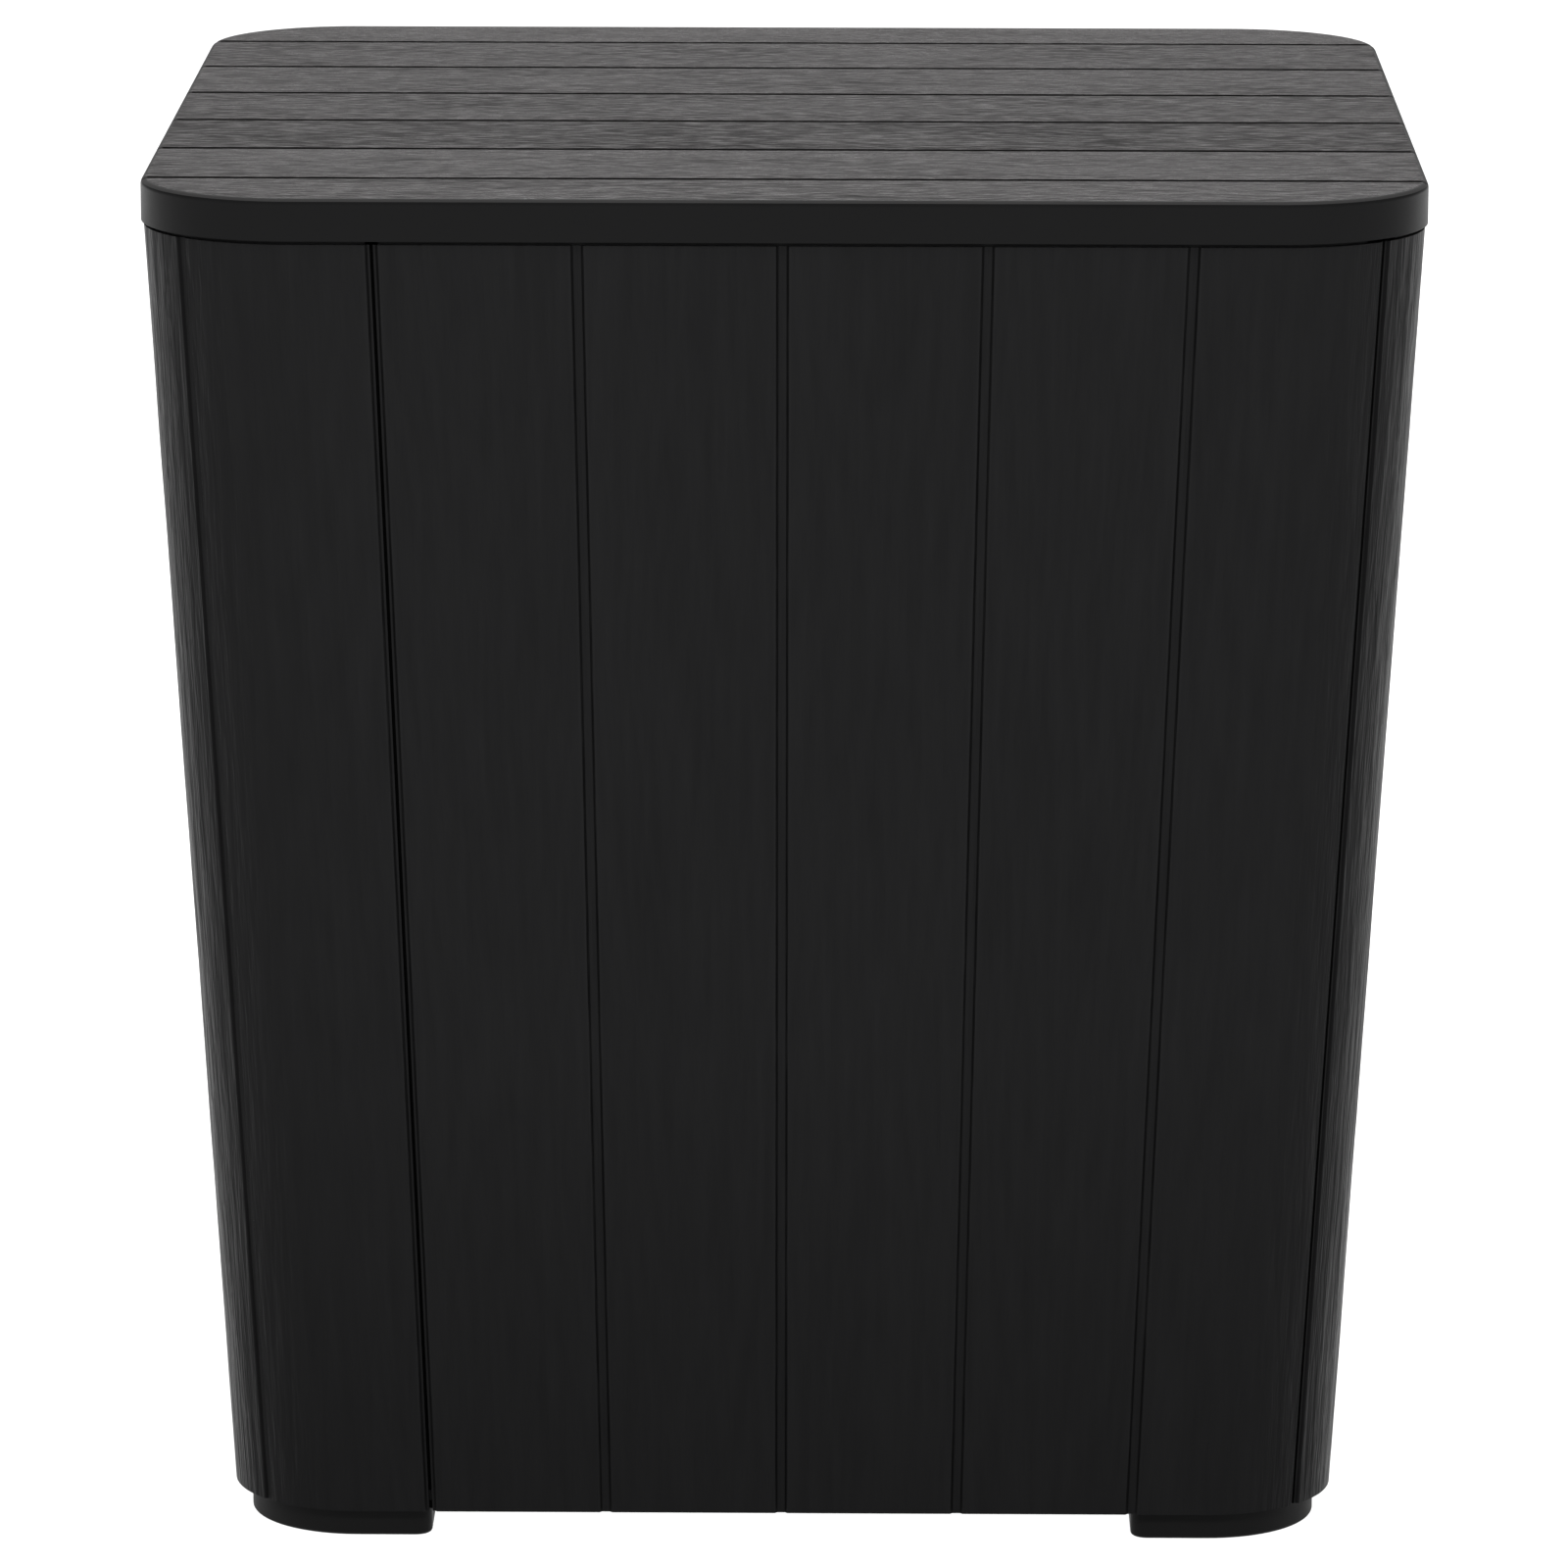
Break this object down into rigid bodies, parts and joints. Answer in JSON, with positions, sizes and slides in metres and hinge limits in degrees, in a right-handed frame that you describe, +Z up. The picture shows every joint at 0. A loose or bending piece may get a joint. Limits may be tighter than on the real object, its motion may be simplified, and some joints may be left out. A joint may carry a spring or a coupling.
{
  "type": "garden storage table",
  "caption": "Square resin storage side table with leaning plank-pattern walls, corner feet and a flat lid hinged at the back.",
  "frame": {"origin": "on the floor under the middle of the box", "axes": "+Z up, the front with the open seam faces -Y, +X to the right as seen from the front"},
  "size_m": [0.46, 0.4676, 0.5],
  "materials": {
    "wall_resin": "moulded wood-grain texture, charcoal",
    "lid_resin": "moulded wood-grain texture, charcoal",
    "inner_resin": "smooth moulded, charcoal",
    "hinge_metal": "black powder coat",
    "fastener_steel": "plain stainless"
  },
  "bodies": {
    "cabinet": {"front_panel": "wall_resin", "back_panel": "wall_resin", "left_panel": "wall_resin", "right_panel": "wall_resin", "floor_panel": "inner_resin", "foot_front_left": "inner_resin", "foot_front_right": "inner_resin", "foot_back_left": "inner_resin", "foot_back_right": "inner_resin", "hinge_left_wall_leaf": "hinge_metal", "hinge_right_wall_leaf": "hinge_metal", "hinge_left_pin": "fastener_steel", "hinge_right_pin": "fastener_steel", "foot_screws": "fastener_steel", "hinge_wall_screws": "fastener_steel"},
    "lid": {"lid_top": "lid_resin", "lid_liner": "inner_resin", "hinge_left_lid_leaf": "hinge_metal", "hinge_right_lid_leaf": "hinge_metal", "hinge_lid_screws": "fastener_steel", "liner_screws": "fastener_steel"}
  },
  "joints": [
    {"name": "lid_hinge", "type": "hinge", "parent": "cabinet", "child": "lid", "pos_m": [0, 0.2338, 0.4845], "axis": [-1, 0, 0], "range_deg": [0, 105]}
  ]
}
